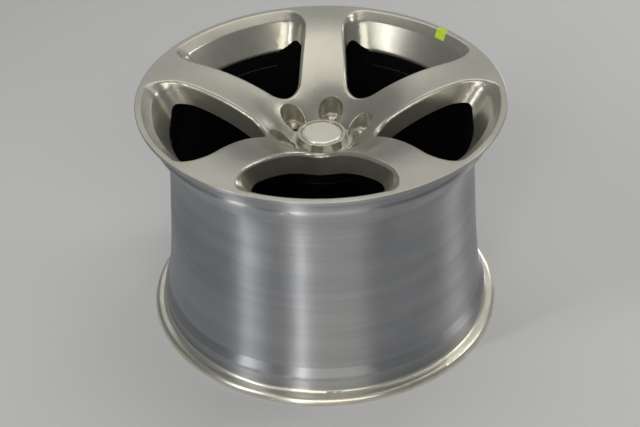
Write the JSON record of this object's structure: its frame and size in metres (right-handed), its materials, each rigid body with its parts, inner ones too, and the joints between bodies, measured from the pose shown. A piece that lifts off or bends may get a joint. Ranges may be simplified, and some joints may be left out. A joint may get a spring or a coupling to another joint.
{
  "type": "car wheel",
  "caption": "One-piece alloy road wheel with broad spokes, deep lug pockets, drop-centre barrel and small snap-in centre cap.",
  "frame": {"origin": "centre of the inboard flange face, which the wheel stands on", "axes": "+Z along the wheel's axis towards the outboard face; one spoke points along +Y"},
  "size_m": [0.5176, 0.5174, 0.3489],
  "materials": {
    "wheel_alloy": "champagne satin paint on the face, bare turned barrel",
    "cap_plastic": "champagne satin paint",
    "spring_wire": "bright wire",
    "sticker_film": "satin film"
  },
  "bodies": {
    "root": {"wheel": "wheel_alloy", "centre_cap": "cap_plastic", "cap_spring_ring": "spring_wire", "sticker": "sticker_film"}
  },
  "joints": []
}
